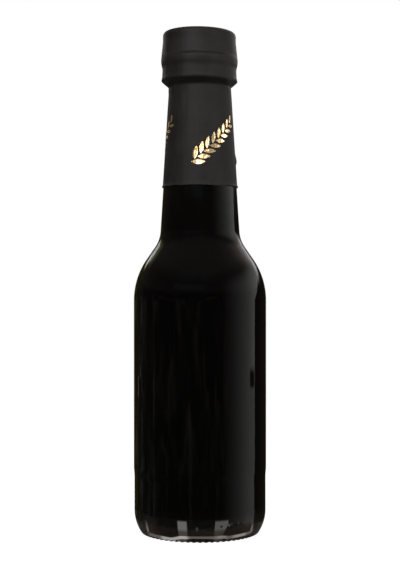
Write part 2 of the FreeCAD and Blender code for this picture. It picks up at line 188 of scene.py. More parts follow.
def grow(name, start, nodes, values):
    # runs a tree over a mesh and keeps what it makes as a plain mesh
    piece = bpy.data.objects.new(name, start)
    bpy.context.scene.collection.objects.link(piece)
    modifier = piece.modifiers.new("shape", "NODES")
    modifier.node_group = nodes.tree
    for item in nodes.tree.interface.items_tree:
        if item.in_out == "INPUT" and item.name in values:
            modifier[item.identifier] = values[item.name]
    ready = piece.evaluated_get(bpy.context.evaluated_depsgraph_get())
    made = bpy.data.meshes.new_from_object(ready)
    piece.modifiers.remove(modifier)
    piece.data = made
    made.name = name
    return piece


def closeUp(piece):
    # joins what lies together and turns every face outwards
    shape = bmesh.new()
    shape.from_mesh(piece.data)
    bmesh.ops.remove_doubles(shape, verts=shape.verts, dist=joinWithin)
    bmesh.ops.recalc_face_normals(shape, faces=shape.faces)
    gaps = [e for e in shape.edges if len(e.link_faces) != 2]
    print(f"  {piece.name}: {len(shape.faces)} faces, {len(gaps)} open edges")
    shape.to_mesh(piece.data)
    shape.free()


# Half sections and turning. Arcs and lines end with the spacing of their points.

def arc(centre, radius, start, end, spacing):
    count = max(3, math.ceil(abs(math.radians(end - start)) * radius / spacing))
    angles = [math.radians(start + (end - start) * step / count) for step in range(count + 1)]
    return [(centre[0] + radius * math.cos(a), centre[1] + radius * math.sin(a)) for a in angles]


def line(start, end, spacing):
    count = max(1, math.ceil(math.dist(start, end) / spacing))
    return [(start[0] + (end[0] - start[0]) * step / count,
             start[1] + (end[1] - start[1]) * step / count) for step in range(count + 1)]


def halfSection(name, stretches):
    # a line of points, out from the axis and back to it, less those that lie on the one before
    nearest = 0.02
    points = []
    for stretch in stretches:
        for point in stretch:
            if not points or math.dist(point, points[-1]) > nearest:
                points.append(point)
    mesh = bpy.data.meshes.new(name)
    mesh.from_pydata([(r * mm, 0, z * mm) for r, z in points],
                     [(i, i + 1) for i in range(len(points) - 1)], [])
    return mesh


def turned(name, stretches, material, steps, shape=None, values=None):
    # turns a half section about Z. shape may move each point by its angle, radius and height.
    values = {"Steps": steps, "Finish": material, **(values or {})}
    nodes, inputs = geometryTree(name + "Turning", values)
    section = inputs["Geometry"]
    rows = nodes.add("GeometryNodeAttributeDomainSize", {"component": "MESH"},
                     {"Geometry": section}).out("Point Count")
    columns = inputs["Steps"] + 1
    grid = nodes.add("GeometryNodeMeshGrid", None, {"Vertices X": rows, "Vertices Y": columns})
    index = nodes.add("GeometryNodeInputIndex")
    row = (index / columns).whole()
    column = index - row * columns
    place = nodes.add("GeometryNodeSampleIndex", {"data_type": "FLOAT_VECTOR", "domain": "POINT"},
                      {"Geometry": section, "Value": nodes.add("GeometryNodeInputPosition"), "Index": row})
    radius, _, height = nodes.split(place)
    angle = column / inputs["Steps"] * math.tau
    if shape:
        radius, height = shape(nodes, inputs, angle, radius, height)
    spot = nodes.vector(radius * angle.sine(), radius * angle.cosine() * -1, height)
    placed = nodes.add("GeometryNodeSetPosition", None, {"Geometry": grid, "Position": spot})
    unrolled = nodes.vector(column / inputs["Steps"], row / (rows - 1), 0)
    marked = nodes.add("GeometryNodeStoreNamedAttribute", {"data_type": "FLOAT_VECTOR", "domain": "POINT"},
                       {"Geometry": placed, "Name": "unrolled", "Value": unrolled})
    read = nodes.add("GeometryNodeInputNamedAttribute", {"data_type": "FLOAT_VECTOR"}, {"Name": "unrolled"})
    mapped = nodes.add("GeometryNodeStoreNamedAttribute", {"data_type": "FLOAT2", "domain": "CORNER"},
                       {"Geometry": marked, "Name": "UVMap", "Value": read})
    clean = nodes.add("GeometryNodeRemoveAttribute", None, {"Geometry": mapped, "Name": "unrolled"})
    joined = nodes.add("GeometryNodeMergeByDistance", None, {"Geometry": clean, "Distance": joinWithin})
    smooth = nodes.add("GeometryNodeSetShadeSmooth", None, {"Geometry": joined})
    finishTree(nodes, smooth, inputs["Finish"])
    piece = grow(name, halfSection(name, stretches), nodes, values)
    closeUp(piece)
    return piece


def onRing(nodes, angle, reach, height):
    # a place on a cylinder, so that noise joins up all the way round
    return nodes.vector(angle.sine() * reach, angle.cosine() * reach, height)


# Camera

view = {"distance": 520, "height": 100.5, "lens": 78.6, "shift": 0.0105}

camera = bpy.data.objects.new("camera", bpy.data.cameras.new("camera"))
camera.data.lens = view["lens"]
camera.data.shift_y = view["shift"]
camera.data.clip_start = 0.01
camera.location = (0, -view["distance"] * mm, view["height"] * mm)
camera.rotation_euler = (math.radians(90), 0, 0)
bpy.context.scene.collection.objects.link(camera)
bpy.context.scene.camera = camera
bpy.context.scene.view_settings.view_transform = "Standard"
print("camera placed")


# Glass

glass = {
    "bodyRadius": 27.58, "wallFoot": 27.0, "wallTop": 96.624,
    "bandRadius": 27.33, "bandTop": 24.0, "bandEase": 0.8,
    "shoulderCentre": (-2.525, 96.624), "shoulderRadius": 30.105, "shoulderAngle": 34.6,
    "shoulderLine": ((22.255, 113.72), (18.735, 118.823)),
    "rootCentre": (29.436, 126.205), "rootRadius": 13.0, "rootTurn": (-145.4, -176.45),
    "neckFoot": (16.461, 125.4), "neckTop": (12.67, 186.5), "collarFoot": (12.8, 186.8),
    "collarRadius": 13.0, "collarHeights": (187.1, 190, 200), "lipHeight": lipHeight, "lipRound": 0.8,
    "heelCentre": (10.53, 9.75), "heelRadius": 16.8, "heelStart": -33.82,
    "footRise": 3.2, "footRadius": 72.564, "footEdge": 21.183,
    "ringRadii": (21.446, 21.9, 22.35, 22.8, 23.3, 23.739), "ringCorner": ((24.0, 0.05), (24.25, 0.17)),
    "knurls": 62, "knurlDepth": 0.32, "knurlRadii": (19.5, 20.8), "knurlHeights": (0.9, 0.15),
    "stepsPerKnurl": 6, "waver": 0.03, "waverRadii": (25.8, 26.6),
    # inside
    "baseThickness": 7.6, "cornerRadius": 7.5, "insideRadius": 25.58,
    "insideShoulderLine": ((20.609, 112.584), (16.565, 118.446)),
    "insideRootCentre": (28.912, 126.963), "insideRootRadius": 15, "insideRootTurn": (-145.4, -175.8),
    "insideNeckFoot": (13.953, 125.865), "boreLean": 4.2, "boreRadius": 9.5, "boreFoot": 186.5,
    # moulded marks
    "peelDepth": 0.3, "peelStrength": 0.12,
    "studAngles": (26.6, 33.0, 38.4), "studHeight": 7.4, "studReach": 26.9,
    "studRadius": 1.05, "studDepth": 0.34,
}

clearGlass, nodes = newMaterial("clearGlass")
place = nodes.add("ShaderNodeTexCoord").out("Object")
relief = nodes.bump(nodes.noise(place, 0.12, detail=1), glass["peelDepth"], glass["peelStrength"])
for turn in glass["studAngles"]:
    around = math.radians(turn)
    middle = (glass["studReach"] * math.sin(around) * mm, -glass["studReach"] * math.cos(around) * mm,
              glass["studHeight"] * mm)
    away = nodes.add("ShaderNodeVectorMath", {"operation": "DISTANCE"}, {0: place, 1: middle}).out("Value")
    dome = (away / mm).rise(glass["studRadius"], 0)
    relief = nodes.bump(dome, glass["studDepth"], 1.0, relief)
principled(nodes, {
    "Base Color": (1, 1, 1, 1), "Roughness": 0.0, "IOR": 1.5, "Transmission Weight": 1.0,
    "Normal": relief,
})


def glassShape(nodes, inputs, angle, radius, height):
    # knurls on the standing ring, and a wall that wavers a little as moulded glass does
    crest = (angle * inputs["Knurls"]).cosine() * 0.5 + 0.5
    ring = (height / mm).rise(*glass["knurlHeights"]) * (radius / mm).rise(*glass["knurlRadii"])
    height = height + (1 - crest) * ring * inputs["Knurl depth"] * mm
    sway = nodes.cloud(onRing(nodes, angle, 1, height / mm * 0.03), 1.6, detail=1) - 0.5
    wall = (radius / mm).rise(*glass["waverRadii"])
    return radius + sway * wall * inputs["Waver"] * mm, height


def insideBase(g, bite=0):
    # from the axis out over the flat dome of the base, and up the curve to the wall
    centre = g["footRise"] - g["footRadius"]
    dome = g["footRadius"] + g["baseThickness"]
    side = g["insideRadius"] - g["cornerRadius"]
    lean = math.asin(side / (dome + g["cornerRadius"]))
    corner = (side, centre + (dome + g["cornerRadius"]) * math.cos(lean))
    lean = math.degrees(lean)
    return [arc((0, centre), dome - bite, 90, 90 - lean, 2.2),
            arc(corner, g["cornerRadius"] + bite, -90 - lean, 0, 0.9)]


def glassOutline(g):
    footCentre = (0, g["footRise"] - g["footRadius"])
    footTurn = math.degrees(math.acos(g["footEdge"] / g["footRadius"]))
    body, band, ease = g["bodyRadius"], g["bandRadius"], g["bandEase"]
    collar, bore = g["collarRadius"], g["boreRadius"]
    edge = g["lipHeight"] - g["lipRound"]
    base = insideBase(g)
    inside = g["shoulderRadius"] - (body - g["insideRadius"])
    shoulderTop, shoulderFoot = reversed(g["insideShoulderLine"])
    return [
        arc(footCentre, g["footRadius"], 90, footTurn, 1.6),
        [(radius, 0) for radius in g["ringRadii"]],
        g["ringCorner"],
        arc(g["heelCentre"], g["heelRadius"], g["heelStart"], 0, 0.6),
        line((band, g["heelCentre"][1]), (band, g["bandTop"] - ease), 1.8),
        [(band + 0.01, g["bandTop"]), (band + 0.06, g["bandTop"] + ease)],
        [(body - 0.06, g["wallFoot"] - ease), (body - 0.01, g["wallFoot"])],
        line((body, g["wallFoot"] + ease), (body, g["wallTop"] - 0.6), 2.4),
        arc(g["shoulderCentre"], g["shoulderRadius"], 0, g["shoulderAngle"], 0.8),
        line(*g["shoulderLine"], 0.9),
        arc(g["rootCentre"], g["rootRadius"], *g["rootTurn"], 0.5),
        line(g["neckFoot"], g["neckTop"], 2.6),
        [g["collarFoot"]] + [(collar, height) for height in (*g["collarHeights"], edge)],
        arc((collar - g["lipRound"], edge), g["lipRound"], 0, 90, 0.4),
        arc((bore + g["lipRound"], edge), g["lipRound"], 90, 180, 0.4),
        line((bore, g["boreFoot"]), g["insideNeckFoot"], 6),
        arc(g["insideRootCentre"], g["insideRootRadius"], *reversed(g["insideRootTurn"]), 1.6),
        line(shoulderTop, shoulderFoot, 3),
        arc(g["shoulderCentre"], inside, g["shoulderAngle"], 0, 1.6),
        line((g["insideRadius"], g["wallTop"]), base[1][-1], 8),
    ] + [list(reversed(stretch)) for stretch in reversed(base)]


bottle = turned("bottleGlass", glassOutline(glass), clearGlass, glass["knurls"] * glass["stepsPerKnurl"],
                glassShape, {"Knurls": float(glass["knurls"]), "Knurl depth": glass["knurlDepth"],
                             "Waver": glass["waver"]})
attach(bottle, "root")
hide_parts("bottle")
print("glass made")


# Vinegar, which reaches just into the wall

vinegar = {
    "bite": 0.08, "fill": 176.3, "fillRadius": 10.249,
    # radius and drop of the level's edge, inwards from the glass
    "meniscus": ((9.6, 0.25), (8.4, 0.4), (5, 0.4), (0, 0.4)),
    "throughLightFrom": (13.5, 8.4),                # painted light: from these heights down over the base its colour turns brown, standing in for light let through the thin vinegar
}

darkVinegar, nodes = newMaterial("darkVinegar")
place = nodes.add("ShaderNodeTexCoord").out("Object")
# painted light: the colour turns brown low over the base, standing in for light let through the thin vinegar
paintedThroughLight = (nodes.split(place)[2] / mm).rise(*vinegar["throughLightFrom"])
cloud = nodes.noise(place, 0.08, detail=3)
deep = nodes.blend(cloud, (0.0016, 0.0007, 0.0004), (0.0032, 0.0014, 0.0007))
principled(nodes, {
    "Base Color": nodes.blend(paintedThroughLight * 0.3, deep, (0.12, 0.05, 0.018)),
    "Roughness": 0.4 + cloud * 0.1, "IOR": 1.34, "Specular IOR Level": 0.0,
})


def movedOut(point, lean, distance):
    # moves a point square to a wall whose outward side leans up by this angle
    lean = math.radians(lean)
    return (point[0] + distance * math.cos(lean), point[1] + distance * math.sin(lean))


def vinegarOutline(g, v):
    bite, fill = v["bite"], v["fill"]
    base = insideBase(g, bite)
    inside = g["shoulderRadius"] - (g["bodyRadius"] - g["insideRadius"]) + bite
    slope = [movedOut(point, g["shoulderAngle"], bite) for point in g["insideShoulderLine"]]
    neck = [movedOut(point, g["boreLean"], bite) for point in (g["insideNeckFoot"], (v["fillRadius"], fill))]
    return base + [
        line(base[1][-1], (g["insideRadius"] + bite, g["wallTop"]), 8),
        arc(g["shoulderCentre"], inside, 0, g["shoulderAngle"], 1.6),
        line(*slope, 3),
        arc(g["insideRootCentre"], g["insideRootRadius"] - bite, *g["insideRootTurn"], 1.6),
        line(*neck, 6),
        [(radius, fill - drop) for radius, drop in v["meniscus"]],
    ]


liquid = turned("vinegarFill", vinegarOutline(glass, vinegar), darkVinegar, 128)
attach(liquid, "root")
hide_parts("vinegar")
print("vinegar poured")


# Closure, and the film shrunk over it

closure = {
    "radius": 15.02, "cornerRadius": 1.6, "crownFoot": 204.1, "flareFoot": (15.749, 197.253),
    "beadCentre": (6.8, 196.3), "beadRadius": 9.0, "beadTurn": (6.08, -15.56),
    "waistCentre": (21.25, 192.275), "waistRadius": 6.0, "waistTurn": (164.44, 182.38),
    "ring": ((15.255, 192.0), (15.36, 189.5), (15.58, 188.41)),
    "rimCentre": (14.7, 188.2), "rimRadius": 0.9, "rimStart": 11.3,
    "underside": 187.3, "insideRadius": 13.3,
    "tilt": 0.8, "lean": 0.25, "leanFrom": (182.0, 190.0),       # it sits a little askew
}
film = {
    "thickness": 0.2, "topHeight": 208.3, "openEnd": 143.6, "steps": 288,
    "ripple": 0.2, "folds": 0.8, "endWave": 0.6, "roll": 0.3, "rimEnd": -51,
    "rimFoot": (15.266, 187.501), "bridgeFoot": (13.216, 185.84), "bridgeSquare": (0.63, -0.78),
    "turnCentre": (13.971, 184.908), "turnRadius": 1.2, "turnAngles": (129, 183.55),
    "neckTop": (12.773, 184.833), "neckFoot": (15.331, 144.6), "openRadius": 15.392,
    "closureGap": 0.03, "neckGap": 0.02,
    # where it ripples, folds and curls up, from nothing to full, and how much of the folds shows in front
    "rippled": (206, 200), "folded": (183.6, 187.6, 1.4), "foldSides": (0.55, 0.98), "foldFront": 0.12,
    "foldedAbove": (189.5, 196, 2.5), "foldAbove": 0.16, "curled": (144.7, 143.8),
    "creaseReach": 15, "creaseEdge": 1.5,        # where a crease's width is measured, and how soft it ends
    # where it is pulled smooth, and where light is painted on as a paler colour at the ends of the film under
    # the rim: heights, and to the right and left
    "tight": (184, 188), "paintedLightHeights": (184.6, 187.4, 0.5), "paintedLightRight": (10.4, 12.6),
    "paintedLightLeft": (-12.2, -14.4), "leftShare": 0.4,
    # direction, lowest and highest point, half width and depth
    "creases": (
        (-11.5, 162.5, 170.5, 0.9, -0.16), (14.5, 143.4, 147.4, 0.8, 0.26), (22.0, 143.4, 146.0, 0.7, -0.2),
        (88.0, 154.1, 155.7, 2.4, 0.42), (-52.0, 143.4, 146.6, 1.0, 0.24), (-118.0, 150.0, 165.0, 1.0, -0.16),
        (152.0, 143.4, 150.0, 0.9, 0.22), (-168.0, 160.0, 176.0, 1.1, -0.14),
        (4.0, 146.5, 149.5, 3.2, 0.16), (34.0, 148.0, 151.0, 3.4, -0.14), (-34.0, 176.0, 181.0, 2.6, 0.14),
        (24.0, 172.0, 180.0, 2.2, -0.12), (118.0, 168.0, 174.0, 2.6, 0.16),
        (-140.0, 148.0, 153.0, 3.0, 0.16)),
}

capPlastic, nodes = newMaterial("capPlastic")
place = nodes.add("ShaderNodeTexCoord").out("Object")
grain = nodes.noise(place, 4, detail=3)
principled(nodes, {
    "Base Color": nodes.blend(grain, (0.014, 0.014, 0.015), (0.022, 0.022, 0.023)),
    "Roughness": 0.42 + grain * 0.12,
    "Normal": nodes.bump(grain, 0.05, 0.2),
})

blackFilm, nodes = newMaterial("blackFilm")
place = nodes.add("ShaderNodeTexCoord").out("Object")
x, y, z = nodes.split(place)
mottle = nodes.noise(place, 0.11, detail=3, roughness=0.6)
streaks = nodes.noise(place, 0.9, detail=3, stretch=(1, 1, 0.08))
grain = nodes.noise(place, 3.5, detail=2)
scuffs = nodes.noise(place, 0.5, detail=5, roughness=0.7).rise(0.6, 0.72)
plain = nodes.blend(mottle.rise(0.3, 0.7), (0.0190, 0.0152, 0.0152), (0.0262, 0.0214, 0.0208))
tight = (z / mm).rise(*film["tight"])
relief = streaks * 0.7 + grain * 0.3
# painted light: a paler colour at the right and left ends of the film that bridges in under the rim, standing
# in for light falling there
paintedPaleLight = (x / mm).rise(*film["paintedLightRight"]) + (x / mm).rise(*film["paintedLightLeft"]) * film["leftShare"]
paintedPaleLight = (z / mm).within(*film["paintedLightHeights"]) * paintedPaleLight * (0.55 + streaks * 0.6)
scuffed = nodes.blend(scuffs * 0.35, plain, (0.05, 0.047, 0.045))
principled(nodes, {
    "Base Color": nodes.blend(paintedPaleLight, scuffed, (0.11, 0.10, 0.098)),
    "Roughness": 0.5 + mottle * 0.14 + scuffs * 0.1 - tight * 0.09,
    "IOR": 1.45, "Specular IOR Level": 0.42,
    "Normal": nodes.bump(relief, 0.1, 0.5),
})


def filmShape(nodes, inputs, angle, radius, height):
    # shallow ripples, folds where the film bridges in under the rim, and a wavy open end
    up = height / mm
    slow = nodes.cloud(onRing(nodes, angle, 4, up * 0.04)) - 0.5
    quick = nodes.cloud(onRing(nodes, angle, 13, up * 0.22), detail=3) - 0.5
    wave = nodes.cloud(onRing(nodes, angle, 1.6, 7), 1.5) - 0.5
    side = film["foldFront"] + abs(angle.sine()).rise(*film["foldSides"]) * (1 - film["foldFront"])
    folded = up.within(*film["folded"]) * side + up.within(*film["foldedAbove"]) * film["foldAbove"]
    end = up.rise(*film["curled"])
    bulge = slow * inputs["Ripple"] * up.rise(*film["rippled"]) + quick * inputs["Folds"] * folded
    bulge = bulge + end * inputs["Roll"]
    for turn, low, high, width, depth in film["creases"]:
        aside = abs((angle - math.radians(turn % 360) + math.pi) % math.tau - math.pi) * film["creaseReach"]
        bulge = bulge + aside.rise(width, 0) * up.within(low, high, film["creaseEdge"]) * depth
    height = height + mm * (end * wave * 2 * inputs["End wave"])
    return radius + bulge * mm, height


def closureOutline(c, out, top, rimEnd):
    # the closure's outside, moved out
    edge, drop = c["radius"] - c["cornerRadius"], top - out - c["cornerRadius"]
    ring = [(radius + out, height) for radius, height in c["ring"]]
    crownFoot = (c["radius"] + out, c["crownFoot"])
    return [
        line((0, top), (edge, top), 2.2),
        arc((edge, drop), c["cornerRadius"] + out, 90, 0, 0.4),
        line((c["radius"] + out, drop), crownFoot, 0.7),
        line(crownFoot, (c["flareFoot"][0] + out, c["flareFoot"][1]), 1.2),
        arc(c["beadCentre"], c["beadRadius"] + out, *c["beadTurn"], 0.35),
        arc(c["waistCentre"], c["waistRadius"] - out, *c["waistTurn"], 0.35),
        line(ring[0], ring[1], 0.8),
        line(ring[1], ring[2], 0.5),
        arc(c["rimCentre"], c["rimRadius"] + out, c["rimStart"], rimEnd, 0.2),
    ]


def neckFilm(f, out):
    # the film under the rim and down the neck, moved out from the glass
    rimFoot, bridgeFoot = ([place + out * share for place, share in zip(point, f["bridgeSquare"])]
                           for point in (f["rimFoot"], f["bridgeFoot"]))
    neckTop, neckFoot = ((radius + out, height) for radius, height in (f["neckTop"], f["neckFoot"]))
    return [
        line(rimFoot, bridgeFoot, 0.35),
        arc(f["turnCentre"], f["turnRadius"] - out, *f["turnAngles"], 0.25),
        line(neckTop, neckFoot, 1.2),
        line(neckFoot, (f["openRadius"] + out, f["openEnd"]), 0.25),
    ]


def leanOver(piece, c):
    # the closure sits a little askew, and the film over it follows
    low, high = c["leanFrom"]
    for vertex in piece.data.vertices:
        share = min(max((vertex.co.z / mm - low) / (high - low), 0), 1)
        share = share * share * (3 - 2 * share)
        drop = math.tan(math.radians(c["tilt"])) * vertex.co.x
        vertex.co.z -= drop * share
        vertex.co.x -= c["lean"] * mm * share


outer = closureOutline(closure, film["thickness"], film["topHeight"], film["rimEnd"])
outer = outer + neckFilm(film, film["thickness"])
underCrown = film["topHeight"] - film["thickness"] + film["closureGap"]
inner = closureOutline(closure, film["closureGap"], underCrown, film["rimEnd"])
inner = inner + neckFilm(film, film["neckGap"])
filmOutline = outer + [list(reversed(stretch)) for stretch in reversed(inner)]
sleeve = turned("filmSleeve", filmOutline, blackFilm, film["steps"], filmShape,
                {"Ripple": film["ripple"], "Folds": film["folds"], "End wave": film["endWave"],
                 "Roll": film["roll"]})
leanOver(sleeve, closure)
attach(sleeve, "root")
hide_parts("sleeve")

capInside = (closure["insideRadius"], closure["underside"])
capOutline = closureOutline(closure, 0, film["topHeight"] - film["thickness"], -90) + [
    [(closure["rimCentre"][0], closure["underside"]), capInside],
    line(capInside, (closure["insideRadius"], lipHeight), 4),
    line((closure["insideRadius"], lipHeight), (0, lipHeight), 4),
]
cap = turned("closure", capOutline, capPlastic, 128)
leanOver(cap, closure)
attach(cap, "root")
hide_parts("cap")
print("closure and film made")


# Gold sprigs on the film: a slanted stem with pairs of leaves, three times round the neck

sprig = {
    "repeats": 3, "angle": -14.0, "foot": 153.0, "slant": 41.0, "length": 27.0,
    "leaves": 16, "leafLength": 5.6, "leafWidth": 2.0, "leafLean": 40.0, "tip": 0.6,
    "relief": 0.035, "backDepth": 0.1, "lift": 0.035, "neckRadius": 14.6, "reach": 20.0,
}

goldFoil, nodes = newMaterial("goldFoil")
place = nodes.add("ShaderNodeTexCoord").out("Object")
crinkle = nodes.noise(place, 0.9, detail=3, roughness=0.6)
worn = nodes.noise(place, 0.4, detail=4).rise(0.54, 0.66)
gold = nodes.blend(crinkle.rise(0.35, 0.6), (0.86, 0.52, 0.16), (1.0, 0.86, 0.56))
principled(nodes, {
    "Base Color": nodes.blend(worn * 0.75, gold, (0.34, 0.14, 0.035)),
    "Metallic": 0.9 - worn * 0.3,
    "Roughness": 0.26 + worn * 0.2,
    "Normal": nodes.bump(crinkle, 0.25, 0.5),
})


def leafMesh(s):
    # one leaf, flat on the XY plane from the origin along X, creased along its middle
    steps = 8
    front = [(side, rise * s["relief"]) for side, rise in ((-1, 0), (-0.5, 1), (0, 0.35), (0.5, 1), (1, 0))]
    back = [(side, -s["backDepth"]) for side in (0.5, 0, -0.5)]
    shape = bmesh.new()
    rows = []
    for step in range(steps + 1):
        share = step / steps
        half = s["leafWidth"] / 2 * math.sin(math.pi * min(max(share, 0.02), 0.98)) ** 0.75
        rows.append([shape.verts.new((s["leafLength"] * share * mm, half * side * mm, rise * mm))
                     for side, rise in front + back])
    for first, second in zip(rows, rows[1:]):
        for i in range(len(first)):
            j = (i + 1) % len(first)
            shape.faces.new((first[i], first[j], second[j], second[i]))
    shape.faces.new(rows[0])
    shape.faces.new(list(reversed(rows[-1])))
    bmesh.ops.recalc_face_normals(shape, faces=shape.faces)
    mesh = bpy.data.meshes.new("leaf")
    shape.to_mesh(mesh)
    shape.free()
    return mesh


def sprigTree(values):
    # leaves along a flat stem, slanted, repeated, then rolled round the neck onto the film
    nodes, inputs = geometryTree("sprigs", values)
    gap = inputs["Length"] * mm / inputs["Leaves"]
    stem = nodes.add("GeometryNodeMeshLine", {"mode": "OFFSET"},
                     {"Count": inputs["Leaves"], "Offset": nodes.vector(gap, 0, 0)})
    index = nodes.add("GeometryNodeInputIndex")
    side = index % 2 * 2 - 1
    shrink = 1 - (1 - inputs["Tip"]) * index / inputs["Leaves"]
    lean = nodes.vector(0, 0, side * inputs["Lean"] * (math.pi / 180))
    leaves = nodes.add("GeometryNodeInstanceOnPoints", None, {
        "Points": stem, "Instance": inputs["Geometry"], "Rotation": lean,
        "Scale": nodes.vector(shrink, shrink, 1)})
    real = nodes.add("GeometryNodeRealizeInstances", None, {"Geometry": leaves})
    s, t, rise = nodes.split(nodes.add("GeometryNodeInputPosition"))
    slant = inputs["Slant"] * (math.pi / 180)
    flat = nodes.vector(s * slant.cosine() - t * slant.sine(), s * slant.sine() + t * slant.cosine(), rise)
    slanted = nodes.add("GeometryNodeSetPosition", None, {"Geometry": real, "Position": flat})
    apart = inputs["Neck radius"] * mm * math.tau / inputs["Repeats"]
    starts = nodes.add("GeometryNodeMeshLine", {"mode": "OFFSET"},
                       {"Count": inputs["Repeats"], "Offset": nodes.vector(apart, 0, 0)})
    row = nodes.add("GeometryNodeInstanceOnPoints", None, {"Points": starts, "Instance": slanted})
    whole = nodes.add("GeometryNodeRealizeInstances", None, {"Geometry": row})
    around, up, rise = nodes.split(nodes.add("GeometryNodeInputPosition"))
    angle = inputs["Angle"] * (math.pi / 180) + around / (inputs["Neck radius"] * mm)
    away = nodes.vector(angle.sine(), angle.cosine() * -1, 0)
    # from outside the film back onto it
    start = nodes.scaled(away, inputs["Reach"] * mm, nodes.vector(0, 0, inputs["Foot"] * mm + up))
    coat = nodes.add("GeometryNodeObjectInfo", None, {"Object": inputs["Film"]}).out("Geometry")
    met = nodes.add("GeometryNodeRaycast", None, {
        "Target Geometry": coat, "Source Position": start, "Ray Direction": nodes.scaled(away, -1),
        "Ray Length": inputs["Reach"] * mm})
    spot = nodes.scaled(away, rise + inputs["Lift"] * mm, met.out("Hit Position"))
    rolled = nodes.add("GeometryNodeSetPosition", None, {"Geometry": whole, "Position": spot})
    smooth = nodes.add("GeometryNodeSetShadeSmooth", None, {"Geometry": rolled, "Shade Smooth": False})
    finishTree(nodes, smooth, inputs["Finish"])
    return nodes


values = {"Leaves": sprig["leaves"], "Length": sprig["length"], "Lean": sprig["leafLean"],
          "Tip": sprig["tip"], "Slant": sprig["slant"], "Angle": sprig["angle"], "Foot": sprig["foot"],
          "Neck radius": sprig["neckRadius"], "Lift": sprig["lift"], "Repeats": sprig["repeats"],
          "Reach": sprig["reach"], "Film": sleeve, "Finish": goldFoil}
foil = grow("goldSprigs", leafMesh(sprig), sprigTree(values), values)
closeUp(foil)
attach(foil, "root")
print("gold sprigs laid on")


# Floor, light tent, world and lamps

studio = {
    "floorRadius": 600, "floorDrop": 0.02, "floorWhite": (0.9, 0.9, 0.9), "floorGlow": 1.3, "glowShare": 0.7,
    "floorMirrored": (0.2, 0.185, 0.172), "floorShown": (30, 44),     # how far out the glass shows it
    "tentRadius": 550, "tentFoot": -350, "tentTop": 950,
    "ambient": 0.5, "ambientBelow": 0.06, "horizon": (-0.15, 0.5),
    "skyMirrored": 0.115, "skyTint": (1.0, 0.88, 0.84),
    # direction, height, light, size, and the pieces that they light
    "lamps": (("lampLeft", -20, 34, 0.93, 420, "matt"), ("lampRight", 42, 34, 0.64, 420, "matt"),
              ("glintLeft", -36, 9, 0.15, 133, "film"), ("glintRight", 44, 9, 0.11, 133, "film"),
              ("foilLeft", 4, 14, 1.0, 300, "foil"), ("foilRight", 84, 12, 1.3, 360, "foil")),
    "lampDistance": {"matt": 900, "film": 500, "foil": 500},      # the tent stands between
    "lampAim": 100,
}


def floorDisc(radius):
    shape = bmesh.new()
    bmesh.ops.create_circle(shape, cap_ends=True, segments=128, radius=radius * mm)
    bmesh.ops.translate(shape, verts=shape.verts, vec=(0, 0, -studio["floorDrop"] * mm))
    mesh = bpy.data.meshes.new("floor")
    shape.to_mesh(mesh)
    shape.free()
    return mesh


def tentWall(radius, foot, top):
    shape = bmesh.new()
    bmesh.ops.create_cone(shape, cap_ends=False, segments=96, radius1=radius * mm, radius2=radius * mm,
                          depth=(top - foot) * mm)
    bmesh.ops.translate(shape, verts=shape.verts, vec=(0, 0, (top + foot) / 2 * mm))
    mesh = bpy.data.meshes.new("tent")
    shape.to_mesh(mesh)
    shape.free()
    return mesh


paleFloor, nodes = newMaterial("paleFloor")
ray = nodes.add("ShaderNodeLightPath")
seen, mirrored, through = (ray.out(f"Is {kind} Ray") for kind in ("Camera", "Glossy", "Transmission"))
x, y, _ = nodes.split(nodes.add("ShaderNodeTexCoord").out("Object"))
away = (x * x + y * y) ** 0.5 / mm
matt = nodes.add("ShaderNodeBsdfDiffuse", None, {"Color": (*studio["floorWhite"], 1)})
white = nodes.add("ShaderNodeEmission", None, {"Color": (1, 1, 1, 1), "Strength": studio["floorGlow"]})
shaded = nodes.add("ShaderNodeMixShader", None, {0: studio["glowShare"], 1: matt, 2: white})
clear = nodes.add("ShaderNodeBsdfTransparent")
shade = nodes.add("ShaderNodeBsdfDiffuse", None, {"Color": (*studio["floorMirrored"], 1)})
shown = nodes.add("ShaderNodeMixShader", None, {0: seen, 1: shade, 2: shaded})
hidden = (mirrored + through) * away.rise(*studio["floorShown"])
nodes.add("ShaderNodeOutputMaterial", None,
          {"Surface": nodes.add("ShaderNodeMixShader", None, {0: hidden, 1: shown, 2: clear})})

floor = bpy.data.objects.new("floor", floorDisc(studio["floorRadius"]))
bpy.context.scene.collection.objects.link(floor)
floor.data.materials.append(paleFloor)

